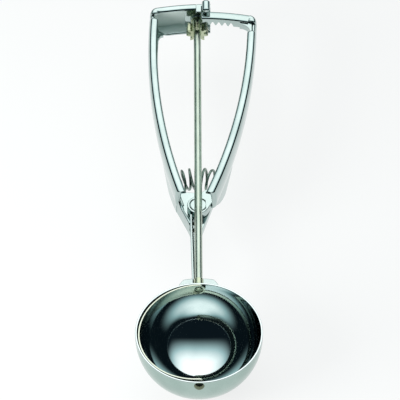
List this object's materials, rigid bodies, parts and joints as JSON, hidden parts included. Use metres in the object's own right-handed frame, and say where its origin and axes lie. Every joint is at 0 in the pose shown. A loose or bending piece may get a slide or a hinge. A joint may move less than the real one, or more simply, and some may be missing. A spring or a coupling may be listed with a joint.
{
  "type": "lever ice cream scoop",
  "caption": "Lever ice cream scoop: squeezing the handles drives a curved rack and pinion that sweeps a scraper blade round the bowl.",
  "frame": {"origin": "under the middle of the whole tool, at the level of the bowl's lowest point, in the plane of the scraper shaft", "axes": "+X to the right, from the fixed handle to the lever; +Y along the shaft from the bowl to the handles' end; +Z out of the bowl's mouth"},
  "size_m": [0.0594, 0.2386, 0.0426],
  "materials": {
    "chrome_plate": "polished",
    "polished_steel": "polished",
    "satin_steel": "satin",
    "nickel_plate": "polished",
    "spring_steel": "polished"
  },
  "bodies": {
    "root": {"bowl": "polished_steel", "bowl_saddle": "satin_steel", "bowl_bush": "nickel_plate", "tip_rivet": "nickel_plate", "stem": "polished_steel", "stem_rivets": "nickel_plate", "fixed_handle": "chrome_plate", "rack_guide": "chrome_plate", "top_bush": "nickel_plate", "thrust_washer": "nickel_plate", "pivot_pin": "chrome_plate", "pivot_washer": "satin_steel", "spring": "spring_steel"},
    "lever": {"lever_handle": "chrome_plate", "gear_rack": "chrome_plate"},
    "scraper": {"scraper_shaft": "nickel_plate", "pinion": "nickel_plate", "pinion_pin": "spring_steel", "scraper_blade": "polished_steel", "root_rivet": "nickel_plate"}
  },
  "joints": [
    {"name": "handle_squeeze", "type": "hinge", "parent": "root", "child": "lever", "pos_m": [0, -0.00632, 0.0295], "axis": [0, 0, 1], "range_deg": [0, 6.5], "stiffness_Nm_per_rad": 1.2, "springref_deg": -22.92, "deforming": ["spring"]},
    {"name": "scraper_turn", "type": "hinge", "parent": "root", "child": "scraper", "pos_m": [0, -0.00632, 0.0295], "axis": [0, -1, 0], "range_deg": [0, 168]}
  ],
  "couplings": [
    {"joint": "scraper_turn", "follows": "handle_squeeze", "ratio": 25.778}
  ]
}
